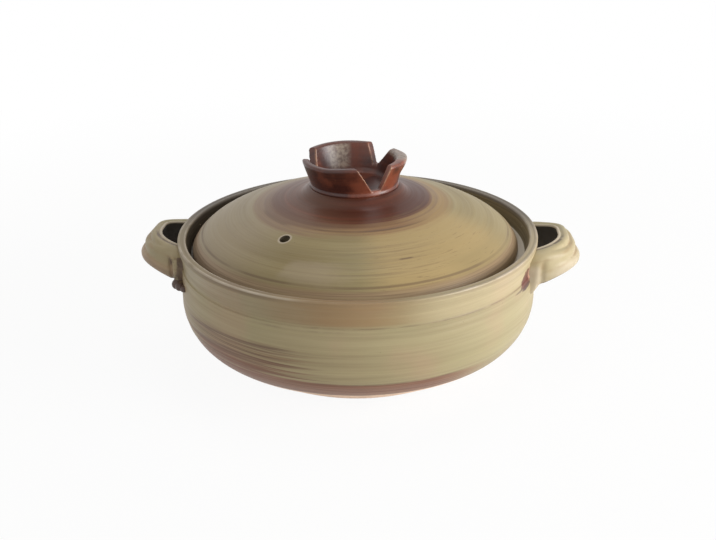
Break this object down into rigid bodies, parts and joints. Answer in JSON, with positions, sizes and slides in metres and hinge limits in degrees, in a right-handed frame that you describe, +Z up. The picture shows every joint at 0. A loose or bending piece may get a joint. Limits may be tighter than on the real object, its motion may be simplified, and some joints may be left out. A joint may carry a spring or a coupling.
{
  "type": "clay cooking pot with lid",
  "caption": "Low round clay cooking pot with ribbed strap handles and a domed lid whose knob is a notched cup, in matte olive glaze with brown iron bands.",
  "frame": {"origin": "centre of the foot ring on the table, below the middle of the bounding box", "axes": "+X through the right handle, +Z up through the knob, -Y towards the side seen in the picture"},
  "size_m": [0.3152, 0.255, 0.1495],
  "materials": {
    "olive_glaze": "matte olive ash glaze with brown streaks and bands, bare clay under the foot",
    "handle_glaze": "matte olive ash glaze broken to brown along the ridges and at the roots",
    "lid_glaze": "matte olive ash glaze that turns to red-brown iron glaze round the knob",
    "iron_glaze": "satin red-brown iron glaze, thin and pale along cut edges"
  },
  "bodies": {
    "pot": {"pot_bowl": "olive_glaze", "handle_left": "handle_glaze", "handle_right": "handle_glaze"},
    "lid": {"lid_dome": "lid_glaze", "lid_knob": "iron_glaze"}
  },
  "joints": [
    {"name": "lid_lift", "type": "slide", "parent": "pot", "child": "lid", "axis": [0, 0, 1], "range_m": [0, 0.12]}
  ]
}
